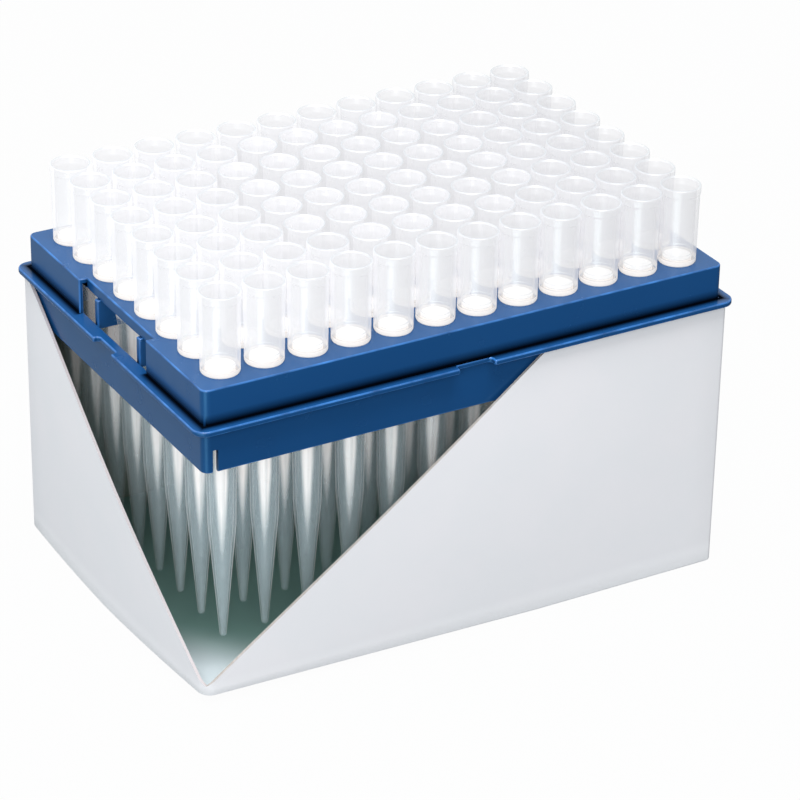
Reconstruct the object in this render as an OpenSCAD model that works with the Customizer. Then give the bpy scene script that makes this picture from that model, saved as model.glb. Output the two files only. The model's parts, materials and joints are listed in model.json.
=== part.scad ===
// Box of pipette tips: a blue tray that holds twelve columns of eight filter tips
// on a 9 mm grid, standing in an open paperboard carton whose front left corner
// is cut away in a V so that the tips show.
// Millimetres, +Z up. The origin is at the middle of the carton's underside.
// Columns count from -X to +X, and rows count from +Y (the back) to -Y (the front).

/* [Tip grid] */
// Distance from one tip to the next, along both rows and columns
pitch = 9; // [9:0.1:9.6]
// Number of tips in a column
rows = 8; // [2:1:8]

/* [Tip] */
// Height of a tip's open end above the tray's plate
tip_proud = 16.1; // [12:0.1:24]
// Length of a tip below the top of the tray's plate
tip_reach = 55.9; // [48:0.1:64]
// Outer diameter of the collar round a tip's open end
collar_d = 8; // [7.9:0.05:8.4]
// Height of that collar
collar_h = 1.7; // [1:0.1:3]
// Outer diameter of the upper tube just below the collar
tube_top_d = 7.7; // [7.5:0.05:7.8]
// Outer diameter of the upper tube where it stands on the plate
tube_base_d = 7.44; // [7.35:0.01:7.6]
// Inner diameter of the socket that takes the pipette's nozzle
socket_d = 6.3; // [6.1:0.05:6.4]
// Depth of the flared mouth above the socket
mouth_h = 1.5; // [0.8:0.1:2]
// Outer diameter of the neck that passes through the plate
neck_d = 6.8; // [6.5:0.05:6.8]
// Length of that neck below the top of the plate
neck_h = 4.6; // [4:0.1:6]
// Outer diameter of the body below the neck
body_d = 6.1; // [5.7:0.05:6.2]
// Outer diameter of the body where its last taper begins
waist_d = 5.3; // [4.6:0.05:5.5]
// Depth of that place below the top of the plate
waist_drop = 32; // [26:0.5:38]
// Outer diameter of the tip's lower end
end_d = 1.24; // [1.1:0.02:1.8]
// Diameter of the orifice at the lower end
orifice_d = 0.6; // [0.4:0.02:0.7]
// Wall of the body
body_wall = 0.5; // [0.4:0.05:0.7]
// Distance from the waist up to the upper graduation ring
ring_above = 8.4; // [1:0.1:12]
// Distance from the waist down to the lower graduation ring
ring_below = 1.8; // [1:0.1:8]

/* [Filter] */
// Diameter of a filter plug
filter_d = 5.7; // [5.5:0.02:5.8]
// Length of a filter plug
filter_h = 5; // [4:0.1:5.4]
// Height of the plug's top above the plate
filter_proud = 1.5; // [1.2:0.1:1.8]

/* [Tray] */
// Distance from the middle of an end column to the outside of the end wall
end_margin = 6.7; // [6.5:0.1:8]
// Distance from the middle of an outer row to the outside of the long wall
side_margin = 6.3; // [5.8:0.1:8]
// Height of the plate's top above the flange
plateau_h = 7.1; // [6.6:0.1:10]
// Thickness of the plate
plate_t = 1.2; // [0.8:0.1:1.6]
// Thickness of the tray's walls
wall_t = 0.9; // [0.7:0.05:1.2]
// Radius of the tray's upright corners
corner_r = 1.6; // [1.3:0.1:3]
// Distance that the flange stands out from the wall
flange_w = 2.2; // [1.8:0.1:3]
// Thickness of the flange
flange_t = 1.1; // [0.8:0.1:1.6]
// Depth of the skirt below the flange
skirt_h = 8.8; // [6:0.1:12]
// Gap between a tip's neck and its hole in the plate
hole_gap = 0.12; // [0.08:0.01:0.15]
// Length of the window in each end wall
window_w = 28.6; // [24:0.1:34]
// Depth of the plate's setback above that window
window_setback = 1.7; // [1.4:0.1:1.8]
// Height of the lip round that setback
lip_h = 2.2; // [1.8:0.1:2.6]
// Thickness of the ribs under the plate
rib_t = 1.4; // [1:0.05:1.6]
// Distance that the ribs stand out past the lip in the window
rib_nose = 0.7; // [0.4:0.1:0.8]
// Length of the notch in the middle of each side of the flange
notch_w = 7.6; // [6:0.1:12]
// Depth of the notches in the long sides of the flange
side_notch = 1.7; // [1:0.1:1.75]
// Depth of the notches in the short sides of the flange
end_notch = 1.2; // [0.8:0.1:1.6]
// Width of the relief slots in the skirt beside each corner
slot_w = 1.1; // [0.8:0.1:2]
// Height of those slots
slot_h = 4.6; // [3:0.1:5.6]
// Distance from the tray's corner to those slots
slot_inset = 2.4; // [2:0.1:4]

/* [Carton] */
// Thickness of the card
card_t = 0.6; // [0.4:0.05:0.9]
// Gap between the tray's skirt and the inside of the carton
carton_gap = 0.3; // [0.1:0.05:0.5]
// Outer radius of the carton's upright folds
fold_r = 2.6; // [1.5:0.1:3]
// Space between the tips' lower ends and the carton's floor
floor_gap = 8.6; // [6:0.1:14]
// Gap between the two outer flaps of the base
flap_gap = 0.8; // [0.4:0.1:2]

/* [Cut-away corner] */
// Height of the cut's lowest point above the carton's underside
cut_rise = 3.3; // [2.5:0.1:10]
// Length of the cut along the front wall's top edge, from the corner
cut_front = 73.3; // [60:0.1:90]
// Distance from the far end of the cut in the end wall to the back of the carton
cut_end_margin = 1.1; // [0.9:0.1:20]

/* [Hidden] */
columns = 12;
$fn = 48;

// Tray, half sizes and heights
tray_x = (columns - 1) / 2 * pitch + end_margin;
tray_y = (rows - 1) / 2 * pitch + side_margin;
flange_x = tray_x + flange_w;
flange_y = tray_y + flange_w;

// Carton, half sizes and heights
carton_x = tray_x + carton_gap + card_t;
carton_y = tray_y + carton_gap + card_t;
base_t = 2 * card_t;
carton_h = base_t + floor_gap + tip_reach - plateau_h - flange_t;
flange_z = carton_h + flange_t;
plate_z = flange_z + plateau_h;

// Upper tube, which steps in to the filter's chamber
filter_fit = 0.03;
chamber_r = filter_d / 2 + filter_fit;
seat_z = filter_proud - filter_h;
chamber_top = filter_proud + 0.4;
rim_round = 0.3;
collar_fillet = 0.5;
foot_chamfer = 0.15;
mouth_flare = 0.35;
neck_taper = 2;
seat_taper = 0.9;
ring_w = 0.35;
ring_proud = 0.1;
filter_chamfer = 0.25;

// Ribs under the plate run between the second and third rows from the middle
rib_row = pitch;
rib_bottom = carton_h;

// Outer radius of a tip's body at a depth below the plate's top
function body_r(drop) =
    drop < waist_drop
    ? lookup(drop, [[neck_h + neck_taper, body_d / 2], [waist_drop, waist_d / 2]])
    : lookup(drop, [[waist_drop, waist_d / 2], [tip_reach, end_d / 2]]);

// The raised outline of one graduation ring, from its upper edge to its lower
function ring_outline(drop) = [
    [body_r(drop - ring_w / 2), -drop + ring_w / 2],
    [body_r(drop) + ring_proud, -drop + ring_w / 4],
    [body_r(drop) + ring_proud, -drop - ring_w / 4],
    [body_r(drop + ring_w / 2), -drop - ring_w / 2]
];

// Middle of a tip on the grid, counted from 1
function column_x(column) = (column - (columns + 1) / 2) * pitch;
function row_y(row) = ((rows + 1) / 2 - row) * pitch;

// Two digits for a column's name
function two_digits(number) = number < 10 ? str("0", number) : str(number);

// A plate with rounded upright corners, from z = 0 up
module rounded_plate(half_x, half_y, height, radius) {
    linear_extrude(height)
        union() {
            square([2 * half_x, 2 * (half_y - radius)], center = true);
            square([2 * (half_x - radius), 2 * half_y], center = true);
            for (side_x = [-1, 1], side_y = [-1, 1])
                translate([side_x * (half_x - radius), side_y * (half_y - radius)])
                    circle(radius);
        }
}

// A rectangular wall with rounded upright corners, open above and below
module rounded_ring(half_x, half_y, height, radius, thickness) {
    difference() {
        rounded_plate(half_x, half_y, height, radius);
        translate([0, 0, -1])
            rounded_plate(half_x - thickness, half_y - thickness, height + 2,
                          max(radius - thickness, 0.2));
    }
}

// A block given by two opposite corners
module block(low, high) {
    translate(low) cube(high - low);
}

// All that lies above two sloping planes, which meet the front and end walls in the cut's edges
module corner_cut() {
    overrun = 5;
    end_run = 2 * carton_y - cut_end_margin;
    intersection() {
        translate([-carton_x, carton_y + overrun, 0])
            rotate([90, 0, 0])
                linear_extrude(2 * (carton_y + overrun)) above_slope(cut_front, overrun);
        translate([-carton_x - overrun, -carton_y, 0])
            rotate([90, 0, 90])
                linear_extrude(2 * (carton_x + overrun)) above_slope(end_run, overrun);
    }
}

// The space above a line from the cut's lowest point up to the carton's top, which is run away
module above_slope(run, overrun) {
    slope = (carton_h - cut_rise) / run;
    polygon([[-overrun, cut_rise - overrun * slope],
             [run + overrun, carton_h + overrun * slope],
             [-overrun, carton_h + overrun * slope]]);
}

// The folded and glued card: four walls, a floor, and two outer flaps under the floor
module carton() {
    color("whitesmoke")
        difference() {
            rounded_plate(carton_x, carton_y, carton_h, fold_r);
            translate([0, 0, base_t])
                rounded_plate(carton_x - card_t, carton_y - card_t, carton_h, fold_r - card_t);
            block([-carton_x + card_t, -flap_gap / 2, -1], [carton_x - card_t, flap_gap / 2, card_t]);
            corner_cut();
        }
}

// The setback in the plate and end wall at the window on the -X side
module window_cut() {
    block([-tray_x - 1, -window_w / 2, flange_z],
          [-tray_x + window_setback, window_w / 2, plate_z + 1]);
    block([-tray_x + wall_t, -window_w / 2, carton_h - skirt_h + 1],
          [-tray_x + window_setback + wall_t, window_w / 2, plate_z - lip_h]);
}

// The lip that borders the setback on the -X side
module window_lip() {
    lip_x = -tray_x + window_setback;
    lip_low = plate_z - lip_h;
    block([lip_x, -window_w / 2, lip_low], [lip_x + wall_t, window_w / 2, plate_z]);
    for (side = [-1, 1])
        block([-tray_x + corner_r, min(side * window_w / 2, side * (window_w / 2 + wall_t)), lip_low],
              [lip_x + wall_t, max(side * window_w / 2, side * (window_w / 2 + wall_t)), plate_z]);
}

// The notch in the middle of one side of the flange, whose outer edge lies on x = 0
module flange_notch(depth) {
    inner_r = min(0.8, depth / 2);
    translate([0, 0, carton_h - 1])
        linear_extrude(flange_t + 2)
            union() {
                translate([-1, -notch_w / 2]) square([1 + depth - inner_r, notch_w]);
                translate([-1, -notch_w / 2 + inner_r]) square([1 + depth, notch_w - 2 * inner_r]);
                for (side = [-1, 1])
                    translate([depth - inner_r, side * (notch_w / 2 - inner_r)]) circle(inner_r);
            }
}

// The one moulding that carries the tips
module tip_tray() {
    rib_end = tray_x - window_setback;
    color("royalblue")
        difference() {
            union() {
                difference() {
                    union() {
                        translate([0, 0, plate_z - plate_t])
                            rounded_plate(tray_x, tray_y, plate_t, corner_r);
                        translate([0, 0, carton_h - skirt_h])
                            rounded_ring(tray_x, tray_y, plate_z - carton_h + skirt_h, corner_r, wall_t);
                        translate([0, 0, carton_h])
                            rounded_ring(flange_x, flange_y, flange_t, corner_r + flange_w / 2,
                                         flange_w + wall_t);
                    }
                    window_cut();
                    mirror([1, 0, 0]) window_cut();
                }
                window_lip();
                mirror([1, 0, 0]) window_lip();
                for (side = [-1, 1]) {
                    block([-rib_end, side * rib_row - rib_t / 2, rib_bottom],
                          [rib_end, side * rib_row + rib_t / 2, plate_z - plate_t / 2]);
                    block([-rib_end - rib_nose, side * rib_row - rib_t / 2, rib_bottom],
                          [rib_end + rib_nose, side * rib_row + rib_t / 2, plate_z - lip_h]);
                }
            }
            for (column = [1:columns], row = [1:rows])
                translate([column_x(column), row_y(row), plate_z - plate_t - 1])
                    cylinder(r = neck_d / 2 + hole_gap, h = plate_t + 2);
            for (side = [-1, 1]) {
                rotate([0, 0, side < 0 ? 0 : 180])
                    translate([-flange_x, 0, 0]) flange_notch(end_notch);
                rotate([0, 0, side * 90])
                    translate([-flange_y, 0, 0]) flange_notch(side_notch);
                for (end = [-1, 1])
                    block([end * (tray_x - slot_inset) - slot_w / 2,
                           side < 0 ? -tray_y - 1 : tray_y - wall_t - 0.5, carton_h - skirt_h - 1],
                          [end * (tray_x - slot_inset) + slot_w / 2,
                           side < 0 ? -tray_y + wall_t + 0.5 : tray_y + 1,
                           carton_h - skirt_h + slot_h]);
            }
        }
}

// One tip, with z = 0 at the top of the plate
module tip() {
    outside = concat(
        [[collar_d / 2 - rim_round, tip_proud],
         [collar_d / 2, tip_proud - rim_round],
         [collar_d / 2, tip_proud - collar_h],
         [tube_top_d / 2, tip_proud - collar_h - collar_fillet],
         [tube_base_d / 2, foot_chamfer],
         [tube_base_d / 2 - foot_chamfer / 3, 0],
         [neck_d / 2, 0],
         [neck_d / 2, -neck_h],
         [body_d / 2, -neck_h - neck_taper]],
        ring_outline(waist_drop - ring_above),
        [[waist_d / 2, -waist_drop]],
        ring_outline(waist_drop + ring_below),
        [[end_d / 2, -tip_reach]]);
    inside = [
        [orifice_d / 2, -tip_reach],
        [waist_d / 2 - body_wall, -waist_drop],
        [body_d / 2 - body_wall, seat_z - seat_taper],
        [body_d / 2 - body_wall, seat_z],
        [chamber_r, seat_z],
        [chamber_r, chamber_top],
        [socket_d / 2, chamber_top],
        [socket_d / 2, tip_proud - mouth_h],
        [socket_d / 2 + mouth_flare, tip_proud]];
    rotate_extrude() polygon(concat(outside, inside));
}

// One filter plug, with z = 0 at the top of the plate
module filter_plug() {
    rotate_extrude()
        polygon([[0, seat_z],
                 [filter_d / 2 - filter_chamfer, seat_z],
                 [filter_d / 2, seat_z + filter_chamfer],
                 [filter_d / 2, filter_proud - filter_chamfer],
                 [filter_d / 2 - filter_chamfer, filter_proud],
                 [0, filter_proud]]);
}

// The tips of one column, each standing on the plate
module tips_column(column) {
    color("ghostwhite", 0.6)
        for (row = [1:rows])
            translate([column_x(column), row_y(row), plate_z]) tip();
}

// The filter plugs of one column, each seated in its tip
module filters_column(column) {
    color("white")
        for (row = [1:rows])
            translate([column_x(column), row_y(row), plate_z]) filter_plug();
}

carton();
tip_tray();
for (column = [1:columns]) {
    tips_column(column);
    filters_column(column);
}
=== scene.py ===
"""Looks for the box of pipette tips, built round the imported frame.

The blue tray keeps the frame's shape and gets its rounded moulded edges here. The carton is
folded from thin card, and the tips and filter plugs are turned one by one. Sizes are in
metres, and every piece is made where the frame has it.
"""

import json
import logging
import math
import random
from collections.abc import Callable, Iterator
from dataclasses import dataclass, field
from enum import Enum

import bmesh
import bpy
from mathutils import Euler, Matrix, Vector


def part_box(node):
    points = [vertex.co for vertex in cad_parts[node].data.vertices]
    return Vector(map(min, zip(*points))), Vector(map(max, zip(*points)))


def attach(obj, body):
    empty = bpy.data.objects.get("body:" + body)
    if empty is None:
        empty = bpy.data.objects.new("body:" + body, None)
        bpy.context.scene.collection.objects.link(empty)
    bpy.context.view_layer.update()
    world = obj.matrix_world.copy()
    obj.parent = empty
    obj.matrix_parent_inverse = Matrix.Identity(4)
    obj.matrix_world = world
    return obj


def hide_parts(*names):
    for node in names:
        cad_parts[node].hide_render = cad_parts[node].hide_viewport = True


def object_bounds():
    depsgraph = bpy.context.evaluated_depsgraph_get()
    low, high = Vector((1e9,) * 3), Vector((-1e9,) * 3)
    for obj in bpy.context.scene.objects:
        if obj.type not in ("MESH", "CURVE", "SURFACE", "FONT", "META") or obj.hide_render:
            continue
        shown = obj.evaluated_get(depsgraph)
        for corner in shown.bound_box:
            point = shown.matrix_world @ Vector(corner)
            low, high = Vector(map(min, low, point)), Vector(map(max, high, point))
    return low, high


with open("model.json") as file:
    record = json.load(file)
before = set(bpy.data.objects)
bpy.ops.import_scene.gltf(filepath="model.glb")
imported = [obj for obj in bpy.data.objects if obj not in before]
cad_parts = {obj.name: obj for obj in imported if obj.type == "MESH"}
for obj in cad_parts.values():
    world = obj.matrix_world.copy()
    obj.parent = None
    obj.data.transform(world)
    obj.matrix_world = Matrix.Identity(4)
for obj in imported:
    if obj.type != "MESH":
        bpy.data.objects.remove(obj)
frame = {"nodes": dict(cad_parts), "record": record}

Socket = bpy.types.NodeSocket
Colour = tuple[float, float, float]
Range = tuple[float, float]
Outline = list[tuple[float, float]]

LOG = logging.getLogger("tip_box")
MM = 0.001
BODY = "root"
CAD_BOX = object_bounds()

# Keeps the level part of a direction, or adds up X and Y.
LEVEL = (1.0, 1.0, 0.0)

# Edges sharper than this many degrees stay crisp.
SMOOTH_ANGLE = 35.0

# Points closer together than this are one point, and faces lower than the other lie on the floor.
SAME_POINT = 0.001 * MM
ON_THE_FLOOR = 0.01 * MM


class Slot(Enum):
    """The record's material slots."""

    CARD = "card"
    TRAY = "tray"
    TIP = "tip"
    FILTER = "filter"


class Side(Enum):
    """The two halves that repeat about the middle of the box."""

    NEAR = -1
    FAR = 1


# ---------------------------------------------------------------- materials


class Shader:
    """A node tree, with short calls that add a node and join it up."""

    def __init__(self, name: str, surroundings: bool = False) -> None:
        """Starts an empty tree.

        Args:
            name: The name of the material or of the surroundings.
            surroundings: Whether it lights the scene, in place of covering a piece.
        """
        library = bpy.data.worlds if surroundings else bpy.data.materials
        self.owner = library.new(name)
        self.owner.use_nodes = True
        self.tree = self.owner.node_tree
        self.tree.nodes.clear()
        self.output = self.add("OutputWorld" if surroundings else "OutputMaterial")

    def add(self, kind: str, inputs: dict | None = None, **settings: object) -> bpy.types.Node:
        """Adds a node.

        Args:
            kind: The node's type, without the ShaderNode that starts it.
            inputs: A value, or a socket to join, for each input by name or number.
            **settings: The node's own settings.

        Returns:
            The new node.
        """
        node = self.tree.nodes.new("ShaderNode" + kind)
        for name, value in settings.items():
            setattr(node, name, value)
        for name, value in (inputs or {}).items():
            if isinstance(value, Socket):
                self.tree.links.new(value, node.inputs[name])
            else:
                node.inputs[name].default_value = value
        return node

    def math(self, operation: str, *values: Socket | float) -> Socket:
        """Works out one number from others.

        Args:
            operation: What is done with them.
            *values: The numbers, as values or sockets.

        Returns:
            The result.
        """
        return self.add("Math", dict(enumerate(values)), operation=operation).outputs["Value"]

    def vector(self, operation: str, *values: Socket | Vector | tuple) -> Socket:
        """Works out a direction, or the product of two.

        Args:
            operation: What is done with the directions.
            *values: The directions, as values or sockets.

        Returns:
            The result.
        """
        node = self.add("VectorMath", dict(enumerate(values)), operation=operation)
        return node.outputs["Value" if operation == "DOT_PRODUCT" else "Vector"]

    def place(self) -> Socket:
        """Returns the surface's place in the frame."""
        return self.add("TexCoord").outputs["Object"]

    def part(self, way: Socket, axis: str) -> Socket:
        """Returns the part of a place or a direction that lies along one axis."""
        return self.add("SeparateXYZ", {0: way}).outputs[axis]

    def run_from(self, corner: Vector) -> Socket:
        """Returns how far the surface lies from a corner, counted along X and then along Y."""
        return self.vector("DOT_PRODUCT", self.vector("SUBTRACT", self.place(), corner), LEVEL)

    def noise(self, scale: float, detail: float = 3.0, place: Socket | None = None) -> Socket:
        """Adds a noise pattern that is fixed to the piece.

        Args:
            scale: Number of its cells in a metre.
            detail: Number of finer layers.
            place: Where the pattern is read, if not at the surface's own place.

        Returns:
            The pattern, from 0 to 1.
        """
        inputs = {"Vector": self.place() if place is None else place, "Scale": scale, "Detail": detail}
        return self.add("TexNoise", inputs).outputs[0]

    def spread(self, value: Socket, low: Socket | float, high: Socket | float, start: Socket | float = 0.0,
               end: Socket | float = 1.0, **settings: object) -> Socket:
        """Maps a value from one range to another.

        Args:
            value: The socket to map.
            low: Result at the start.
            high: Result at the end.
            start: Value that gives low.
            end: Value that gives high.
            **settings: The node's own settings.

        Returns:
            The mapped value.
        """
        inputs = {"Value": value, "From Min": start, "From Max": end, "To Min": low, "To Max": high}
        return self.add("MapRange", inputs, **settings).outputs["Result"]

    def blend(self, share: Socket, first: Socket | Colour, second: Socket | Colour) -> Socket:
        """Mixes two colours.

        Args:
            share: How much of the second colour shows.
            first: A socket, or a linear red, green and blue.
            second: A socket, or a linear red, green and blue.

        Returns:
            The mixed colour.
        """
        sides = {name: colour if isinstance(colour, Socket) else (*colour, 1.0)
                 for name, colour in (("A", first), ("B", second))}
        return self.add("Mix", {"Factor": share, **sides}, data_type="RGBA").outputs["Result"]

    def bump(self, height: Socket, strength: float, distance: float) -> Socket:
        """Adds a relief.

        Args:
            height: The relief's pattern.
            strength: How much of it shows.
            distance: Its full height in metres.

        Returns:
            The normal of the relief.
        """
        inputs = {"Height": height, "Strength": strength, "Distance": distance}
        return self.add("Bump", inputs).outputs["Normal"]

    def layer(self, kind: str, inputs: dict | None = None) -> Socket:
        """Adds a shader or a mix of shaders, as add does, and returns its result."""
        return self.add(kind, inputs).outputs[0]

    def finish(self, surface: Socket) -> bpy.types.Material | bpy.types.World:
        """Joins the surface to the output and returns what the tree belongs to."""
        self.tree.links.new(surface, self.output.inputs["Surface"])
        return self.owner


def linear(red: int, green: int, blue: int) -> Colour:
    """Turns a colour as it is seen on a screen into the linear one that shaders use.

    Args:
        red: From 0 to 255.
        green: From 0 to 255.
        blue: From 0 to 255.

    Returns:
        The linear red, green and blue.
    """
    shares = (value / 255 for value in (red, green, blue))
    return tuple(s / 12.92 if s <= 0.04045 else ((s + 0.055) / 1.055) ** 2.4 for s in shares)


@dataclass(frozen=True)
class CardFinish:
    """White coated carton board with a duller inner face and a fibrous cut edge."""

    coat: Colour = linear(231, 230, 234)
    coat_shade: Colour = linear(229, 229, 233)
    # Painted light: the outer face turns to this paler colour over its lowest foot_height.
    foot: Colour = linear(242, 242, 245)
    foot_height: float = 5.0 * MM
    ground: Colour = linear(198, 209, 214)
    ground_shade: Colour = linear(194, 206, 211)
    # Painted shade: the inner floor turns to deep from deep_start to deep_end away from the open corner.
    deep: Colour = linear(101, 135, 128)
    deep_start: float = 9.0 * MM
    deep_end: float = 36.0 * MM
    # The grey inner board, darkened so that it also paints part of the shade inside the box.
    back: Colour = linear(116, 130, 120)
    back_shade: Colour = linear(108, 122, 112)
    # Painted shade: the inner face turns to dim from dim_from to dim_to, under the tray.
    dim: Colour = linear(58, 66, 60)
    dim_from: float = 12.0 * MM
    dim_to: float = 46.0 * MM
    core: Colour = linear(176, 172, 168)
    core_shade: Colour = linear(160, 154, 149)
    # Painted light: the cut edge turns to pale_core where it faces the front, along minus Y.
    pale_core: Colour = linear(190, 184, 186)
    pale_turn: Range = (-0.5, -0.2)
    coat_roughness: float = 0.42
    raw_roughness: float = 0.8
    mottle: float = 90.0
    mottle_range: Range = (0.35, 0.65)
    fibre: float = 1400.0
    fibre_layers: float = 4.0
    fibre_strength: float = 0.1
    relief: float = 0.02 * MM

    def _board(self, sheet: Shader, colours: tuple[Colour, Colour], scale: float, roughness: float,
               share: Socket, tone: Colour) -> bpy.types.Material:
        """Finishes one of the board's surfaces.

        Args:
            sheet: The surface's material.
            colours: Its main colour and the colour of its darker patches.
            scale: Number of patches in a metre.
            roughness: How dull it is.
            share: How far it has turned to the tone.
            tone: The colour that it turns to, a painted light or shade.

        Returns:
            The material.
        """
        patches = sheet.spread(sheet.noise(scale), 0.0, 1.0, *self.mottle_range)
        fibres = sheet.noise(self.fibre, self.fibre_layers)
        inputs = {"Base Color": sheet.blend(share, sheet.blend(patches, *colours), tone),
                  "Roughness": roughness,
                  "Normal": sheet.bump(fibres, self.fibre_strength, self.relief)}
        return sheet.finish(sheet.layer("BsdfPrincipled", inputs))

    def outside(self) -> bpy.types.Material:
        """Makes the coated outer face, with painted light that makes it palest at its foot.

        Returns:
            The material.
        """
        sheet = Shader("card_outside")
        share = sheet.spread(sheet.part(sheet.place(), "Z"), 1.0, 0.0, 0.0, self.foot_height)
        return self._board(sheet, (self.coat, self.coat_shade), self.mottle, self.coat_roughness, share,
                           self.foot)

    def inside(self) -> bpy.types.Material:
        """Makes the uncoated inner face, with painted shade that darkens it upwards, under the tray.

        Returns:
            The material.
        """
        sheet = Shader("card_inside")
        share = sheet.spread(sheet.part(sheet.place(), "Z"), 0.0, 1.0, self.dim_from, self.dim_to)
        return self._board(sheet, (self.back, self.back_shade), self.mottle, self.raw_roughness, share,
                           self.dim)

    def inner_floor(self, corner: Vector) -> bpy.types.Material:
        """Makes the smoother sheet on the box's floor, with painted shade that darkens it away from the
        corner that is cut open.

        Args:
            corner: That corner's lowest point.

        Returns:
            The material.
        """
        sheet = Shader("card_floor")
        share = sheet.spread(sheet.run_from(corner), 0.0, 1.0, self.deep_start, self.deep_end,
                             interpolation_type="SMOOTHSTEP")
        return self._board(sheet, (self.ground, self.ground_shade), self.mottle, self.raw_roughness, share,
                           self.deep)

    def cut_edge(self) -> bpy.types.Material:
        """Makes the edge where the board was cut, with painted light that makes it paler where it faces the
        front.

        Returns:
            The material.
        """
        sheet = Shader("card_cut_edge")
        across = sheet.part(sheet.add("NewGeometry").outputs["Normal"], "Y")
        share = sheet.spread(across, 1.0, 0.0, *self.pale_turn)
        return self._board(sheet, (self.core, self.core_shade), self.fibre, self.raw_roughness, share,
                           self.pale_core)


@dataclass(frozen=True)
class TrayFinish:
    """Moulded blue polypropylene with a satin skin."""

    blue: Colour = (0.008, 0.06, 0.19)
    deep_blue: Colour = (0.007, 0.056, 0.18)
    # A painted highlight: the lighter blue of the rounded edges.
    highlight_blue: Colour = (0.03, 0.16, 0.46)
    roughness_low: float = 0.2
    roughness_high: float = 0.28
    index: float = 1.45
    gloss: float = 0.5
    gloss_tint: Colour = (0.3, 0.75, 1.0)
    # Painted shade: the moulding darkens to this colour in its creases, read from the occlusion.
    crease_shade: Colour = (0.0008, 0.002, 0.005)
    crease_reach: float = 2.2 * MM
    crease_range: Range = (0.45, 0.75)
    crease_rays: int = 6
    # Where the dark band of painted shade lies along the raised plate's foot.
    band_out: Range = (0.3 * MM, 1.5 * MM)
    band_in: Range = (-0.4 * MM, -0.3 * MM)
    band_top: Range = (0.2 * MM, 2.2 * MM)
    band_foot: Range = (-0.2 * MM, -0.1 * MM)
    band_end: float = 0.5 * MM
    flow: float = 60.0
    fine_flow: float = 240.0
    flow_range: Range = (0.3, 0.7)
    grain: float = 900.0
    grain_layers: float = 2.0
    grain_strength: float = 0.1
    relief: float = 0.01 * MM

    def _grain(self, skin: Shader) -> Socket:
        """Returns the normal of the moulding's fine grain."""
        return skin.bump(skin.noise(self.grain, self.grain_layers), self.grain_strength, self.relief)

    def rounded_edge(self) -> bpy.types.Material:
        """Makes the finish of the moulding's rounded edges, a lighter blue that paints their highlight.

        Returns:
            The material.
        """
        skin = Shader("tray_edge_blue")
        patches = skin.spread(skin.noise(self.fine_flow), 0.0, 1.0, *self.flow_range)
        inputs = {"Base Color": skin.blend(patches, self.highlight_blue, self.blue),
                  "Roughness": self.roughness_low, "IOR": self.index, "Normal": self._grain(skin)}
        return skin.finish(skin.layer("BsdfPrincipled", inputs))

    def _plate_foot_shade(self, skin: Shader, foot: Vector, window_half: float) -> Socket:
        """Adds the painted shade, a dark band where the raised plate meets the flange.

        Args:
            skin: The material.
            foot: Half width and half length of the raised plate, and the flange's height.
            window_half: Half the width of the windows in its ends, where no band is painted.

        Returns:
            1 in the painted band and 0 away from it.
        """
        sides = skin.vector("ABSOLUTE", skin.place())
        out = skin.add("SeparateXYZ", {0: skin.vector("SUBTRACT", sides, foot)}).outputs
        beyond = skin.math("MAXIMUM", out["X"], out["Y"])
        share = skin.spread(beyond, 1.0, 0.0, *self.band_out)
        for part in (skin.spread(beyond, 0.0, 1.0, *self.band_in),
                     skin.spread(out["Z"], 1.0, 0.0, *self.band_top),
                     skin.spread(out["Z"], 0.0, 1.0, *self.band_foot),
                     skin.spread(skin.part(sides, "Y"), 0.0, 1.0, window_half - self.band_end, window_half)):
            share = skin.math("MULTIPLY", share, part)
        return share

    def moulded(self, foot: Vector, window_half: float) -> bpy.types.Material:
        """Makes the moulding's finish, with painted shade in its creases and in a dark band at the raised
        plate's foot, where its gloss is taken away too.

        Args:
            foot: Half width and half length of the raised plate, and the flange's height.
            window_half: Half the width of the windows in its ends.

        Returns:
            The material.
        """
        skin = Shader("tray_blue")
        patches = skin.spread(skin.noise(self.flow), 0.0, 1.0, *self.flow_range)
        # Painted shade: the occlusion in the creases and the band at the plate's foot darken the colour and
        # take away the gloss.
        nook = skin.add("AmbientOcclusion", {"Distance": self.crease_reach}, samples=self.crease_rays,
                        only_local=True).outputs["AO"]
        depth = skin.math("MAXIMUM", skin.spread(nook, 1.0, 0.0, *self.crease_range),
                          self._plate_foot_shade(skin, foot, window_half))
        colour = skin.blend(patches, self.blue, self.deep_blue)
        dull = skin.spread(skin.noise(self.fine_flow), self.roughness_low, self.roughness_high,
                           *self.flow_range)
        inputs = {"Base Color": skin.blend(depth, colour, self.crease_shade), "Roughness": dull,
                  "IOR": self.index, "Specular IOR Level": skin.spread(depth, self.gloss, 0.0),
                  "Specular Tint": (*self.gloss_tint, 1.0), "Normal": self._grain(skin)}
        return skin.finish(skin.layer("BsdfPrincipled", inputs))


@dataclass(frozen=True)
class TipParts:
    """The parts of a tip's surface, each 1 on the part and 0 off it."""

    above: Socket
    plugged: Socket
    rim: Socket
    core: Socket
    edge_on: Socket


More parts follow.
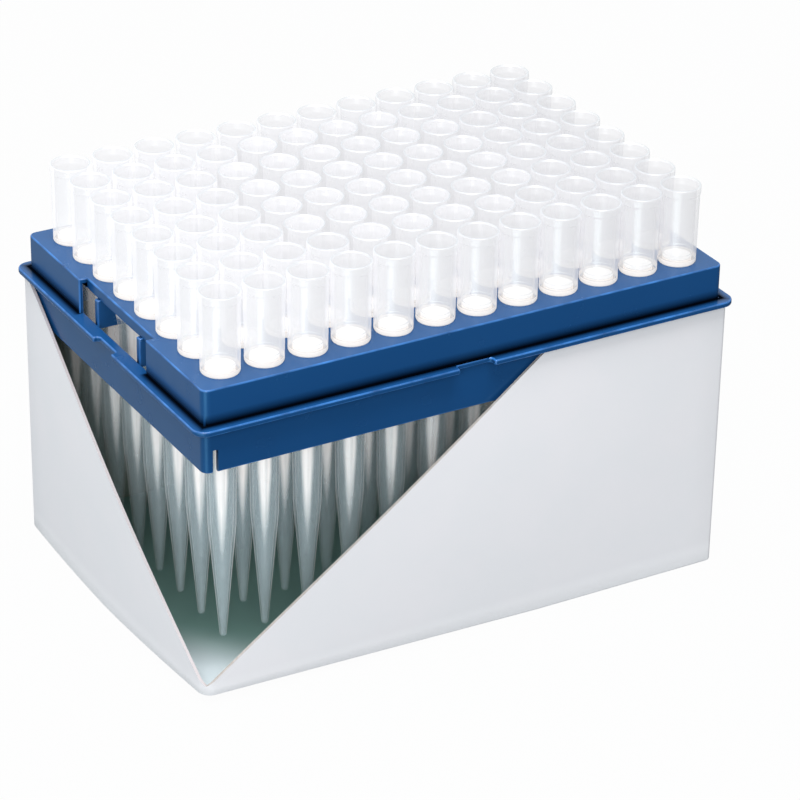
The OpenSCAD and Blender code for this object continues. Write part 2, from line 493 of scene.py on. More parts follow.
@dataclass(frozen=True)
class TipFinish:
    """Natural polypropylene, which is milky and lets light through."""

    milk: Colour = linear(214, 214, 217)
    lining: Colour = linear(150, 150, 152)
    rim: Colour = linear(165, 174, 179)
    frost: Colour = linear(216, 232, 238)
    cream: Colour = linear(240, 234, 226)
    # lit and tube_lit colour the painted glow below and above the plate.
    lit: Colour = linear(255, 228, 214)
    tube_lit: Colour = linear(252, 252, 254)
    forward_share: float = 0.3
    frost_drop: Range = (5.0 * MM, 4.0 * MM)
    plug_soft: float = 0.1 * MM
    rim_turn: Range = (0.5, 0.9)
    tube_haze: float = 0.32
    tube_edge: float = 0.5
    tube_bend: float = 2.4
    rim_haze: float = 0.55
    foot_haze: float = 0.9
    lining_haze: float = 0.5
    lining_low_haze: float = 0.2
    lining_rise: float = 6.0 * MM
    side_haze: float = 0.2
    core_haze: float = 0.8
    body_edge: float = 0.9
    body_bend: float = 6.0
    # Painted light: the glows are an emission that stands in for the light spread inside the walls.
    core_glow: float = 0.62
    edge_glow: float = 0.6
    tube_glow: float = 0.5
    tube_glow_far: float = 0.24
    lining_glow: float = 0.52
    rim_glow: float = 0.27
    foot_glow: float = 0.22
    # A painted glint on the far side of the bore's rim.
    glint: float = 0.5
    glint_turn: Range = (0.825, 0.996)
    half_length: float = 58.0 * MM
    # Painted shade: below the plate the haze and glow fall from 1 to lit_rest between lit_near and lit_far
    # from the open corner.
    lit_near: float = 16.0 * MM
    lit_far: float = 78.0 * MM
    lit_rest: float = 0.22
    lay_back: tuple[float, float, float] = (0.0, 0.0, 0.362)
    core_drop: Range = (40.0 * MM, 22.0 * MM)
    core_turn: Range = (0.985, 0.863)
    core_soft: float = 0.082
    core_foot: Range = (42.0 * MM, 39.0 * MM)
    streaks: float = 1100.0
    streak_stretch: tuple[float, float, float] = (1.0, 1.0, 0.02)
    streak_range: Range = (0.35, 0.6)
    streak_low: float = 0.6
    flow: float = 500.0
    flow_strength: float = 0.08
    relief: float = 0.02 * MM
    roughness: float = 0.22
    straight_gloss: float = 0.045
    edge_gloss: float = 0.12
    edge_power: float = 5.0

    def _straight_on(self, wall: Shader) -> Socket:
        """Adds how straight on the clear wall is seen, as if it leaned back a little.

        Args:
            wall: The material.

        Returns:
            Nearly 1 where it is seen straight on from a little above, and nearly 0 at its outline.
        """
        normal = wall.add("NewGeometry").outputs["Normal"]
        upright = wall.vector("NORMALIZE", wall.vector("MULTIPLY", normal, LEVEL))
        laid_back = wall.vector("NORMALIZE", wall.vector("ADD", upright, self.lay_back))
        facing = wall.add("LayerWeight", {"Blend": 0.5, "Normal": laid_back}).outputs["Facing"]
        return wall.math("SUBTRACT", 1.0, facing)

    def _painted_opening_light(self, wall: Shader) -> Socket:
        """Returns the share of painted light: 1 by the corner where the carton is cut open, and less deep
        inside the box.
        """
        return wall.spread(wall.run_from(CAD_BOX[0]), 1.0, self.lit_rest, self.lit_near, self.lit_far)

    def _core(self, wall: Shader, height: Socket, plate_z: float) -> Socket:
        """Adds the milky core's outline, a long flame that narrows towards the tip's end.

        Args:
            wall: The material.
            height: The surface's height.
            plate_z: Height of the plate that the tips stand on.

        Returns:
            1 in the core and 0 round it.
        """
        start = wall.spread(height, *self.core_turn, *(plate_z - drop for drop in self.core_drop))
        end = wall.math("ADD", start, self.core_soft)
        core = wall.spread(self._straight_on(wall), 0.0, 1.0, start, end)
        foot = wall.spread(height, 0.0, 1.0, *(plate_z - drop for drop in self.core_foot))
        drawn = wall.vector("MULTIPLY", wall.place(), self.streak_stretch)
        share = wall.spread(wall.noise(self.streaks, 1.0, drawn), self.streak_low, 1.0, *self.streak_range)
        return wall.math("MULTIPLY", wall.math("MULTIPLY", core, foot), share)

    def _parts(self, wall: Shader, facing: Socket, plate_z: float, filter_top: float) -> TipParts:
        """Tells the parts of a tip from each other.

        Args:
            wall: The material.
            facing: 0 where the surface faces the eye and 1 where it is seen edge on.
            plate_z: Height of the plate that the tips stand on.
            filter_top: Height of the filter plugs' tops.

        Returns:
            The parts.
        """
        height = wall.part(wall.place(), "Z")
        above = wall.spread(height, 0.0, 1.0, *(plate_z - drop for drop in self.frost_drop))
        under = wall.spread(height, 1.0, 0.0, filter_top - self.plug_soft, filter_top + self.plug_soft)
        upward = wall.part(wall.add("NewGeometry").outputs["Normal"], "Z")
        rim = wall.math("MULTIPLY", wall.spread(upward, 0.0, 1.0, *self.rim_turn), above)
        edge_on = wall.math("POWER", facing, wall.spread(above, self.body_bend, self.tube_bend))
        return TipParts(above, wall.math("MULTIPLY", above, under), rim,
                        self._core(wall, height, plate_z), edge_on)

    def _haze(self, wall: Shader, tip: TipParts, tube_haze: Socket | float) -> Socket:
        """Adds the share of the light that the wall scatters.

        Args:
            wall: The material.
            tip: The tip's parts.
            tube_haze: The share in the tube over the filter, where the wall is seen straight on.

        Returns:
            The share.
        """
        body = wall.spread(tip.core, self.side_haze, self.core_haze)
        tube = wall.spread(tip.plugged, tube_haze, self.foot_haze)
        straight = wall.spread(tip.above, body, tube)
        edge = wall.math("MAXIMUM", wall.spread(tip.above, self.body_edge, self.tube_edge), straight)
        return wall.spread(tip.rim, wall.spread(tip.edge_on, straight, edge), self.rim_haze)

    def _painted_glow(self, wall: Shader, tip: TipParts, tube: Socket | float, rim: Socket | float) -> Socket:
        """Adds the painted glow, an emission that stands in for the light spread inside the wall.

        Args:
            wall: The material.
            tip: The tip's parts.
            tube: Its level in the tube over the filter.
            rim: Its level in the rim.

        Returns:
            The level.
        """
        core = wall.math("MULTIPLY", tip.core, self.core_glow)
        body = wall.math("MULTIPLY_ADD", tip.edge_on, self.edge_glow, core)
        upper = wall.spread(tip.rim, wall.spread(tip.plugged, tube, self.foot_glow), rim)
        return wall.spread(tip.above, body, upper)

    def clear(self, plate_z: float, filter_top: float, inner: bool) -> bpy.types.Material:
        """Makes the tips' finish.

        Light is split three ways at the skin: some goes straight through, some is scattered to
        both sides, and some is mirrored, and the last two grow where the wall is seen edge on.
        Below the plate the wall is thin and frosted, round a milky core that a painted glow
        lights in place of the light from above. Painted glows also stand in for the light spread in
        the walls, and the haze and glows are painted weaker deeper inside the box. The wall looks
        creamy where the filter plug fills it, since it magnifies the plug.

        Args:
            plate_z: Height of the plate that the tips stand on.
            filter_top: Height of the filter plugs' tops.
            inner: Whether it is for the bore, which has an even painted glow and a painted glint on its
                rim's far side.

        Returns:
            The material.
        """
        wall = Shader("tip_bore" if inner else "tip_clear")
        facing = wall.add("LayerWeight", {"Blend": 0.5}).outputs["Facing"]
        tip = self._parts(wall, facing, plate_z, filter_top)
        if inner:
            tube_milk, tube_glow = self.lining, self.lining_glow
            tube_haze = wall.spread(wall.part(wall.place(), "Z"), self.lining_low_haze, self.lining_haze,
                                    filter_top, filter_top + self.lining_rise)
            # A painted glint on the far side of the bore's rim, where it faces the eye.
            far_side = wall.spread(self._straight_on(wall), 0.0, self.glint, *self.glint_turn)
            rim_glow = wall.math("ADD", far_side, self.rim_glow)
        else:
            tube_milk, tube_haze, rim_glow = self.milk, self.tube_haze, self.rim_glow
            # The tubes' painted glow is stronger towards the left, as if lit from there.
            tube_glow = wall.spread(wall.part(wall.place(), "X"), self.tube_glow, self.tube_glow_far,
                                    -self.half_length, self.half_length)
        # Below the plate the haze and the painted glow are painted weaker deeper inside the box.
        lit_share = wall.spread(tip.above, self._painted_opening_light(wall), 1.0)
        haze = wall.math("MULTIPLY", self._haze(wall, tip, tube_haze), lit_share)
        # The level of the painted glow, an emission though the tips are no lamp.
        glow_level = wall.math("MULTIPLY", self._painted_glow(wall, tip, tube_glow, rim_glow), lit_share)
        tube = wall.blend(tip.rim, wall.blend(tip.plugged, tube_milk, self.cream), self.rim)
        milk = wall.blend(tip.above, self.frost, tube)
        tint = wall.blend(tip.above, self.lit, self.tube_lit)
        normal = wall.bump(wall.noise(self.flow, 2.0), self.flow_strength, self.relief)
        front = wall.layer("BsdfDiffuse", {"Color": milk, "Normal": normal})
        behind = wall.layer("BsdfTranslucent", {"Color": milk, "Normal": normal})
        scatter = wall.layer("MixShader", {0: self.forward_share, 1: front, 2: behind})
        glow = wall.layer("Emission", {"Color": tint, "Strength": glow_level})
        milky = wall.layer("AddShader", {0: scatter, 1: glow})
        body = wall.layer("MixShader", {0: haze, 1: wall.layer("BsdfTransparent"), 2: milky})
        shine = wall.layer("BsdfGlossy", {"Roughness": self.roughness, "Normal": normal})
        gloss = wall.spread(wall.math("POWER", facing, self.edge_power), self.straight_gloss,
                            self.edge_gloss)
        wall.owner.cycles.emission_sampling = "NONE"
        return wall.finish(wall.layer("MixShader", {0: gloss, 1: body, 2: shine}))


@dataclass(frozen=True)
class FilterFinish:
    """Sintered white polyethylene beads."""

    white: Colour = linear(250, 249, 246)
    shade: Colour = linear(240, 238, 232)
    beads: float = 5200.0
    bead_range: Range = (0.2, 0.9)
    bead_strength: float = 0.35
    relief: float = 0.06 * MM
    roughness: float = 0.95

    def porous(self) -> bpy.types.Material:
        """Makes the plugs' finish.

        Returns:
            The material.
        """
        plug = Shader("filter_white")
        cells = plug.add("TexVoronoi", {"Vector": plug.place(), "Scale": self.beads}).outputs["Distance"]
        shades = plug.spread(cells, 0.0, 1.0, *self.bead_range)
        inputs = {"Base Color": plug.blend(shades, self.white, self.shade), "Roughness": self.roughness,
                  "Normal": plug.bump(cells, self.bead_strength, self.relief)}
        return plug.finish(plug.layer("BsdfPrincipled", inputs))


@dataclass(frozen=True)
class StageFinish:
    """The pale studio floor, which shows white to the camera and in gloss."""

    pale: Colour = (0.29, 0.32, 0.33)
    white_share: float = 0.975
    room: Colour = (0.85, 0.97, 1.0)
    right_level: float = 0.12
    left_level: float = 0.6
    room_turn: Range = (-0.3, 0.45)
    streak_azimuth: float = -58.0
    streak_level: float = 3.0
    streak_turn: Range = (0.8, 0.97)
    streak_start: Range = (-91.0 * MM, -79.0 * MM)

    def floor(self) -> bpy.types.Material:
        """Makes the floor's finish.

        The camera sees it as good as white. In gloss it is what a polished table mirrors: a white
        room on the left, a dark one on the right, and a narrow lamp above the camera.

        Returns:
            The material.
        """
        ground = Shader("studio_floor")
        path = ground.add("LightPath").outputs
        incoming = ground.add("NewGeometry").outputs["Incoming"]
        way = ground.vector("NORMALIZE", ground.vector("MULTIPLY", incoming, LEVEL))
        room = ground.spread(ground.part(way, "X"), self.right_level, self.left_level, *self.room_turn)
        turn_by = math.radians(self.streak_azimuth)
        toward = (-math.sin(turn_by), math.cos(turn_by), 0.0)
        lobe = ground.spread(ground.vector("DOT_PRODUCT", way, toward), 0.0, self.streak_level,
                             *self.streak_turn)
        in_front = ground.spread(ground.part(ground.place(), "Y"), 1.0, 0.0, *self.streak_start)
        gloss = ground.math("ADD", room, ground.math("MULTIPLY", lobe, in_front))
        matt = ground.layer("BsdfDiffuse", {"Color": (*self.pale, 1.0)})
        white = ground.layer("Emission", {"Strength": 1.0})
        mirrored = ground.layer("Emission", {"Color": (*self.room, 1.0), "Strength": gloss})
        eye = ground.math("MAXIMUM", path["Is Camera Ray"], path["Is Transmission Ray"])
        seen = ground.math("MULTIPLY", eye, self.white_share)
        shown = ground.layer("MixShader", {0: seen, 1: matt, 2: white})
        ground.owner.cycles.emission_sampling = "NONE"
        return ground.finish(ground.layer("MixShader", {0: path["Is Glossy Ray"], 1: shown, 2: mirrored}))


# ---------------------------------------------------------------- shared shaping


def new_piece(name: str, mesh: bmesh.types.BMesh, finishes: list[bpy.types.Material],
              smooth_angle: float = SMOOTH_ANGLE) -> bpy.types.Object:
    """Turns a bmesh into a piece that stands in the scene at the origin.

    Args:
        name: The piece's name.
        mesh: Its shape, which is freed.
        finishes: Its materials, in the order of its faces' numbers.
        smooth_angle: Edges sharper than this many degrees stay crisp.

    Returns:
        The new object.
    """
    data = bpy.data.meshes.new(name)
    mesh.to_mesh(data)
    mesh.free()
    for finish in finishes:
        data.materials.append(finish)
    data.shade_smooth()
    data.set_sharp_from_angle(angle=math.radians(smooth_angle))
    piece = bpy.data.objects.new(name, data)
    bpy.context.scene.collection.objects.link(piece)
    return piece


def settle(piece: bpy.types.Object, slot: Slot, *nodes: str) -> bpy.types.Object:
    """Fixes a finished piece to the frame.

    Args:
        piece: The piece.
        slot: The record's slot that its finish comes from. It is not used.
        *nodes: The frame's nodes that it stands for.

    Returns:
        The same piece.
    """
    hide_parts(*nodes)
    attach(piece, BODY)
    LOG.info("%s: %d faces, in place of %s", piece.name, len(piece.data.polygons), ", ".join(nodes))
    return piece


def turn(mesh: bmesh.types.BMesh, outline: Outline, closed: bool, steps: int) -> list[bmesh.types.BMVert]:
    """Turns an outline about the Z axis into a solid.

    Args:
        mesh: The bmesh that takes the solid.
        outline: Radius and height of each point, in metres.
        closed: Whether the outline joins up with itself, as a tube's does.
        steps: Number of sides of the solid.

    Returns:
        The solid's vertices.
    """
    before = set(mesh.verts)
    points = [mesh.verts.new((radius, 0.0, height)) for radius, height in outline]
    pairs = list(zip(points, points[1:])) + ([(points[-1], points[0])] if closed else [])
    edges = [mesh.edges.new(pair) for pair in pairs]
    bmesh.ops.spin(mesh, geom=points + edges, cent=(0, 0, 0), axis=(0, 0, 1), dvec=(0, 0, 0),
                   angle=2 * math.pi, steps=steps, use_merge=True, use_duplicate=False)
    made = [vert for vert in mesh.verts if vert not in before]
    bmesh.ops.remove_doubles(mesh, verts=made, dist=SAME_POINT)
    return [vert for vert in mesh.verts if vert not in before]


def thicken(piece: bpy.types.Object, thickness: float) -> None:
    """Gives a sheet its thickness, inwards from its outer face.

    The inner face takes the material after the outer face's own, and the rim the one after that.

    Args:
        piece: The sheet, whose mesh is replaced.
        thickness: The thickness in metres.
    """
    shell = piece.modifiers.new("thickness", "SOLIDIFY")
    shell.thickness = thickness
    shell.offset = -1.0
    shell.use_even_offset = True
    shell.material_offset = 1
    shell.material_offset_rim = 2
    graph = bpy.context.evaluated_depsgraph_get()
    solid = bpy.data.meshes.new_from_object(piece.evaluated_get(graph))
    piece.modifiers.clear()
    piece.data = solid
    solid.set_sharp_from_angle(angle=math.radians(SMOOTH_ANGLE))


def arc(centre: tuple[float, float], radius: float, start: float, end: float, steps: int) -> Outline:
    """Lists points along a round stretch of an outline.

    Args:
        centre: Radius and height of the arc's own centre.
        radius: The arc's radius.
        start: Its first angle in degrees, from straight out.
        end: Its last angle in degrees.
        steps: Number of stretches.

    Returns:
        The points, with both ends.
    """
    turns = (math.radians(start + (end - start) * step / steps) for step in range(steps + 1))
    return [(centre[0] + radius * math.cos(a), centre[1] + radius * math.sin(a)) for a in turns]


def toward(azimuth: float, elevation: float) -> Vector:
    """Works out the direction from the object to a place in the studio.

    Args:
        azimuth: Degrees from straight ahead of the front wall, to the right.
        elevation: Degrees above the floor.

    Returns:
        The direction, one unit long.
    """
    turn_by, lift = math.radians(azimuth), math.radians(elevation)
    return Vector((math.sin(turn_by) * math.cos(lift), -math.cos(turn_by) * math.cos(lift),
                   math.sin(lift)))


@dataclass(frozen=True)
class Grid:
    """The tips' places, as the frame has them."""

    columns: int
    rows: int
    pitch: float
    plate_z: float

    @classmethod
    def from_frame(cls) -> "Grid":
        """Reads the grid from the record's sockets and the frame's boxes.

        Returns:
            The grid.
        """
        names = [m["name"] for m in frame["record"]["mounts"] if m["name"].startswith("socket_")]
        columns = len({name[-2:] for name in names})
        rows = len({name[-3] for name in names})
        first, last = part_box("tips_column_01")[0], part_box(f"tips_column_{columns:02d}")[0]
        return cls(columns, rows, (last.x - first.x) / (columns - 1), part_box("tip_tray")[1].z)

    def place(self, column: int, row: int) -> Vector:
        """Returns the middle of a tip on the plate, for a column and a row counted from 1."""
        across = (column - (self.columns + 1) / 2) * self.pitch
        along = ((self.rows + 1) / 2 - row) * self.pitch
        return Vector((across, along, self.plate_z))

    def nearest(self, point: Vector) -> Vector:
        """Finds the tip that stands nearest to a point.

        Args:
            point: The point.

        Returns:
            The middle of that tip, on the plate.
        """
        first = self.place(1, self.rows)
        across = min(max(round((point.x - first.x) / self.pitch), 0), self.columns - 1)
        along = min(max(round((point.y - first.y) / self.pitch), 0), self.rows - 1)
        return first + Vector((across, along, 0)) * self.pitch

    def stand(self, outline: Outline, closed: bool, steps: int,
              lean: Callable[[], Matrix] = Matrix) -> Iterator[tuple[int, bmesh.types.BMesh]]:
        """Turns a part for every place, a column at a time.

        Args:
            outline: Radius of each point of the part and its height over the plate.
            closed: Whether the outline joins up with itself, as a tube's does.
            steps: Number of sides of the part.
            lean: Gives each part's own turn, which is none if it isn't named.

        Yields:
            The column's number and its mesh.
        """
        for column in range(1, self.columns + 1):
            mesh = bmesh.new()
            for row in range(1, self.rows + 1):
                part = turn(mesh, outline, closed, steps)
                matrix = Matrix.Translation(self.place(column, row)) @ lean()
                bmesh.ops.transform(mesh, matrix=matrix, verts=part)
            bmesh.ops.recalc_face_normals(mesh, faces=mesh.faces[:])
            yield column, mesh


# ---------------------------------------------------------------- the pieces


@dataclass
class Tips:
    """The clear tips, a column of eight to a piece."""

    grid: Grid
    finish: TipFinish = TipFinish()
    proud: float = 16.1 * MM
    reach: float = 55.9 * MM
    collar_r: float = 4.0 * MM
    collar_h: float = 1.7 * MM
    tube_top_r: float = 3.85 * MM
    tube_base_r: float = 3.72 * MM
    socket_r: float = 3.15 * MM
    mouth_h: float = 1.5 * MM
    mouth_flare: float = 0.5 * MM
    lip_in: float = 0.2 * MM
    lip_out: float = 0.1 * MM
    lip_drop: float = 0.32 * MM
    chamber_r: float = 2.88 * MM
    chamber_top: float = 1.9 * MM
    chamber_step: float = 0.1 * MM
    seat_drop: float = 3.5 * MM
    seat_taper: float = 0.9 * MM
    neck_r: float = 3.4 * MM
    neck_h: float = 4.6 * MM
    body_r: float = 3.05 * MM
    waist_r: float = 2.65 * MM
    waist_drop: float = 32.0 * MM
    end_r: float = 0.62 * MM
    orifice_r: float = 0.3 * MM
    filter_proud: float = 1.1 * MM
    wall: float = 0.5 * MM
    ring_drops: Range = (23.6 * MM, 33.8 * MM)
    ring_w: float = 0.35 * MM
    ring_proud: float = 0.03 * MM
    rim_round: float = 0.3 * MM
    rim_steps: int = 3
    collar_round: float = 0.15 * MM
    collar_tuck: float = 0.12 * MM
    fillet_w: float = 0.04 * MM
    fillet_h: float = 0.5 * MM
    foot_h: float = 0.25 * MM
    foot_in: float = 0.12 * MM
    taper_h: float = 2.0 * MM
    knee_h: float = 1.4 * MM
    knee_w: float = 0.08 * MM
    end_h: float = 0.3 * MM
    end_out: float = 0.02 * MM
    end_in: float = 0.06 * MM
    steps: int = 36
    crisp_angle: float = 12.0
    lean: float = 0.0025
    seed: int = 96

    def _ring(self, drop: float) -> Outline:
        """Lists the outline of a graduation ring.

        Args:
            drop: The ring's depth below the plate.

        Returns:
            The outline, from its upper edge to its lower.
        """
        radius = self._body_at(drop)
        return [(radius, -drop + self.ring_w / 2),
                (radius + self.ring_proud, -drop + self.ring_w / 4),
                (radius + self.ring_proud, -drop - self.ring_w / 4),
                (self._body_at(drop + self.ring_w / 2), -drop - self.ring_w / 2)]

    def _body_at(self, drop: float) -> float:
        """Works out how wide the body is.

        Args:
            drop: A depth below the plate.

        Returns:
            The outer radius there.
        """
        top = self.neck_h + self.taper_h
        if drop < self.waist_drop:
            share = (drop - top) / (self.waist_drop - top)
            return self.body_r + (self.waist_r - self.body_r) * share
        share = (drop - self.waist_drop) / (self.reach - self.waist_drop)
        return self.waist_r + (self.end_r - self.waist_r) * share

    def _outside(self) -> Outline:
        """Lists the outside of a tip.

        Returns:
            The outline, from the rim down to the end.
        """
        rim = arc((self.collar_r - self.rim_round, self.proud - self.rim_round), self.rim_round, 90, 0,
                  self.rim_steps)
        collar_foot = self.proud - self.collar_h
        upper = [(self.collar_r, collar_foot + self.collar_round),
                 (self.tube_top_r + self.fillet_w, collar_foot - self.collar_tuck),
                 (self.tube_top_r, collar_foot - self.fillet_h),
                 (self.tube_base_r, self.foot_h),
                 (self.tube_base_r - self.foot_in, 0.0),
                 (self.neck_r, 0.0),
                 (self.neck_r, -self.neck_h),
                 (self.body_r + self.knee_w, -self.neck_h - self.knee_h),
                 (self.body_r, -self.neck_h - self.taper_h)]
        lower = [(self.end_r + self.end_out, -self.reach + self.end_h),
                 (self.end_r - self.end_in, -self.reach)]
        return (rim + upper + self._ring(self.ring_drops[0]) + [(self.waist_r, -self.waist_drop)]
                + self._ring(self.ring_drops[1]) + lower)

    def _inside(self) -> Outline:
        """Lists the bore of a tip.

        Returns:
            The outline, from the end up to the mouth.
        """
        return [(self.orifice_r, -self.reach),
                (self.waist_r - self.wall, -self.waist_drop),
                (self.body_r - self.wall, -self.seat_drop - self.seat_taper),
                (self.body_r - self.wall, -self.seat_drop),
                (self.chamber_r, -self.seat_drop),
                (self.chamber_r, self.chamber_top),
                (self.socket_r, self.chamber_top + self.chamber_step),
                (self.socket_r, self.proud - self.mouth_h),
                (self.socket_r + self.mouth_flare - self.lip_in, self.proud - self.lip_drop),
                (self.socket_r + self.mouth_flare + self.lip_out, self.proud)]

    def _lean(self, chance: random.Random) -> Matrix:
        """Returns the small lean that a tip takes in its loose hole."""
        turns = (chance.uniform(-self.lean, self.lean), chance.uniform(-self.lean, self.lean), 0.0)
        return Euler(turns).to_matrix().to_4x4()

    def _line(self, mesh: bmesh.types.BMesh) -> None:
        """Gives the bores of a column of tips the lining's material.

        Args:
            mesh: The column.
        """
        for face in mesh.faces:
            middle = face.calc_center_median()
            axis = self.grid.nearest(middle)
            outward = (middle.x - axis.x) * face.normal.x + (middle.y - axis.y) * face.normal.y
            face.material_index = int(outward < 0)

    def build(self) -> list[bpy.types.Object]:
        """Builds every column of tips.

        Returns:
            The pieces, in the order of their columns.
        """
        chance = random.Random(self.seed)
        plate_z = self.grid.plate_z
        finishes = [self.finish.clear(plate_z, plate_z + self.filter_proud, inner)
                    for inner in (False, True)]
        outline = self._outside() + self._inside()
        pieces = []
        for column, mesh in self.grid.stand(outline, True, self.steps, lambda: self._lean(chance)):
            self._line(mesh)
            piece = new_piece(f"clear_tips_{column:02d}", mesh, finishes, self.crisp_angle)
            pieces.append(settle(piece, Slot.TIP, f"tips_column_{column:02d}"))
        return pieces


@dataclass
class Filters:
    """The white filter plugs, a column of eight to a piece."""

    grid: Grid
    finish: FilterFinish = FilterFinish()
    radius: float = 2.85 * MM
    height: float = 5.0 * MM
    proud: float = 1.1 * MM
    edge: float = 0.25 * MM
    foot_steps: int = 2
    head_steps: int = 3
    steps: int = 24

    def build(self) -> list[bpy.types.Object]:
        """Builds every column of filter plugs.

        Returns:
            The pieces, in the order of their columns.
        """
        low, flat_r = self.proud - self.height, self.radius - self.edge
        foot = arc((flat_r, low + self.edge), self.edge, -90, 0, self.foot_steps)
        head = arc((flat_r, self.proud - self.edge), self.edge, 0, 90, self.head_steps)
        outline = [(0.0, low)] + foot + head + [(0.0, self.proud)]
        material = self.finish.porous()
        pieces = []
        for column, mesh in self.grid.stand(outline, False, self.steps):
            piece = new_piece(f"filter_plugs_{column:02d}", mesh, [material])
            pieces.append(settle(piece, Slot.FILTER, f"filters_column_{column:02d}"))
        return pieces


@dataclass
class Tray:
    """The blue moulding, with its edges rounded."""

    grid: Grid
    finish: TrayFinish = TrayFinish()
    node: str = "tip_tray"
    edge_round: float = 0.28 * MM
    round_steps: int = 2
    sharp_angle: float = 40.0
    flat_angle: float = 1.0
    flat_weight: int = 100
    hole_reach: float = 3.7 * MM
    slot_inset: float = 2.4 * MM
    slot_half: float = 0.56 * MM
    slot_h: float = 4.6 * MM
    slot_margin: float = 0.1 * MM
    wall: float = 0.9 * MM
    flange_w: float = 2.2 * MM
    flange_t: float = 1.1 * MM
    window_half: float = 14.3 * MM
    low: Vector = field(init=False)
    high: Vector = field(init=False)

    def __post_init__(self) -> None:
        """Reads the tray's box from the frame."""
        self.low, self.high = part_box(self.node)

    def _in_hole(self, point: Vector) -> bool:
        """Returns whether a point lies on the rim or wall of one of the tips' holes."""
        return (point.xy - self.grid.nearest(point).xy).length < self.hole_reach

    def _in_slot(self, point: Vector) -> bool:
        """Tells whether a point lies on the edge of a relief slot in the skirt.

        Args:
            point: The point.

        Returns:
            Whether it does.
        """
        middle, half = (self.low + self.high) / 2, (self.high - self.low) / 2
        across = abs(point.x - middle.x) - (half.x - self.flange_w - self.slot_inset)
        along = abs(point.y - middle.y) - (half.y - self.flange_w - self.wall)
        return (abs(across) < self.slot_half and -self.slot_margin < along < self.wall + self.slot_margin
                and point.z < self.low.z + self.slot_h + self.slot_margin)

    def _is_sharp(self, edge: bmesh.types.BMEdge) -> bool:
        """Returns whether an edge is one that the mould rounds."""
        middle = (edge.verts[0].co + edge.verts[1].co) / 2
        return (edge.is_convex and edge.calc_face_angle(0) > math.radians(self.sharp_angle)
                and not self._in_hole(middle) and not self._in_slot(middle))

    def build(self) -> bpy.types.Object:
        """Builds the tray.

        Returns:
            The piece.
        """
        mesh = bmesh.new()
        mesh.from_mesh(frame["nodes"][self.node].data)
        bmesh.ops.remove_doubles(mesh, verts=mesh.verts[:], dist=SAME_POINT)
        bmesh.ops.dissolve_limit(mesh, angle_limit=math.radians(self.flat_angle), verts=mesh.verts[:],
                                 edges=mesh.edges[:], delimit={"NORMAL"})
        sharp = [edge for edge in mesh.edges if self._is_sharp(edge)]
        rounds = bmesh.ops.bevel(mesh, geom=sharp, offset=self.edge_round, offset_type="OFFSET",
                                 segments=self.round_steps, profile=0.5, affect="EDGES", material=-1,
                                 clamp_overlap=False, loop_slide=True)["faces"]
        # The rounded faces take the lighter finish that paints their highlight.
        for face in rounds:
            face.material_index = 1
        foot = self.high - Vector((self.flange_w, self.flange_w, 0.0))
        foot.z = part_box("carton")[1].z + self.flange_t
        finishes = [self.finish.moulded(foot, self.window_half), self.finish.rounded_edge()]
        piece = new_piece("blue_tray", mesh, finishes)
        flat = piece.modifiers.new("flat", "WEIGHTED_NORMAL")
        flat.keep_sharp = True
        flat.weight = self.flat_weight
        return settle(piece, Slot.TRAY, self.node)


